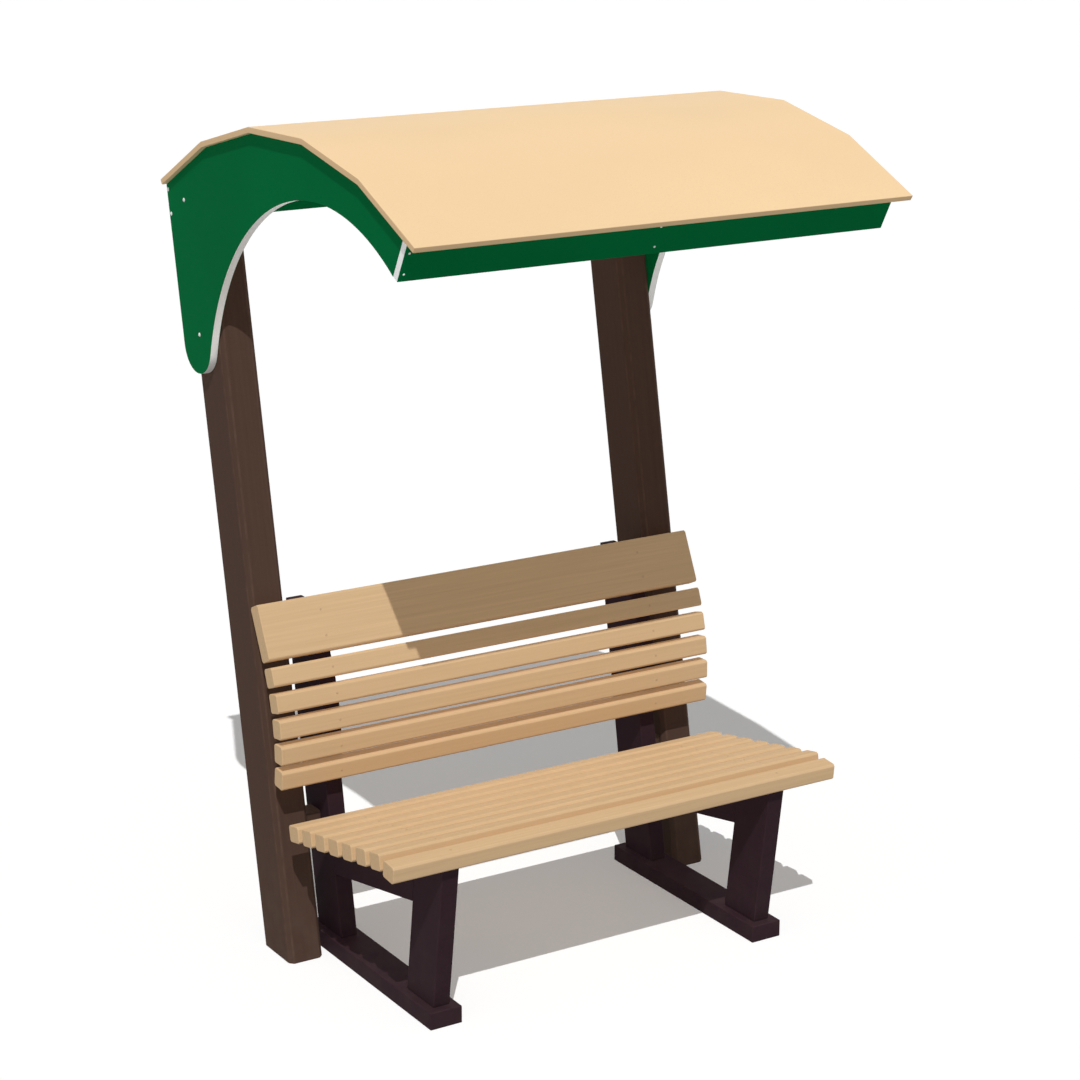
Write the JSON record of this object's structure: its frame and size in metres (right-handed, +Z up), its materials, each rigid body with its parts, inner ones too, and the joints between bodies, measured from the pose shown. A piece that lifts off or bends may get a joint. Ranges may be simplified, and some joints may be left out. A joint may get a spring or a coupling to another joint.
{
  "type": "bus shelter",
  "caption": "Open bus shelter: a slatted bench between two posts that lean back and carry a curved roof on arched side panels.",
  "frame": {"origin": "on the ground under the middle of the roof", "axes": "+Z up, +X along the bench, the sitter faces -Y"},
  "size_m": [1.41, 1.3553, 2.222],
  "materials": {
    "roof": "satin tan sheet",
    "board": "satin green board with a white core on its cut edges",
    "post": "matt brown recycled plastic post",
    "bench_end": "matt dark brown recycled plastic",
    "slat": "matt tan recycled plastic plank"
  },
  "bodies": {
    "root": {"left_post": "post", "right_post": "post", "left_side_panel": "board", "right_side_panel": "board", "centre_rib": "board", "front_rail": "board", "rear_rail": "board", "roof_sheet": "roof", "left_foot": "bench_end", "left_front_leg": "bench_end", "left_rear_leg": "bench_end", "left_seat_bearer": "bench_end", "right_foot": "bench_end", "right_front_leg": "bench_end", "right_rear_leg": "bench_end", "right_seat_bearer": "bench_end", "left_post_spacers": "post", "right_post_spacers": "post", "seat_slat_1": "slat", "seat_slat_2": "slat", "seat_slat_3": "slat", "seat_slat_4": "slat", "seat_slat_5": "slat", "seat_slat_6": "slat", "seat_slat_7": "slat", "front_seat_slat": "slat", "back_slat_1": "slat", "back_slat_2": "slat", "back_slat_3": "slat", "back_slat_4": "slat", "back_slat_5": "slat", "top_back_board": "slat"}
  },
  "joints": []
}
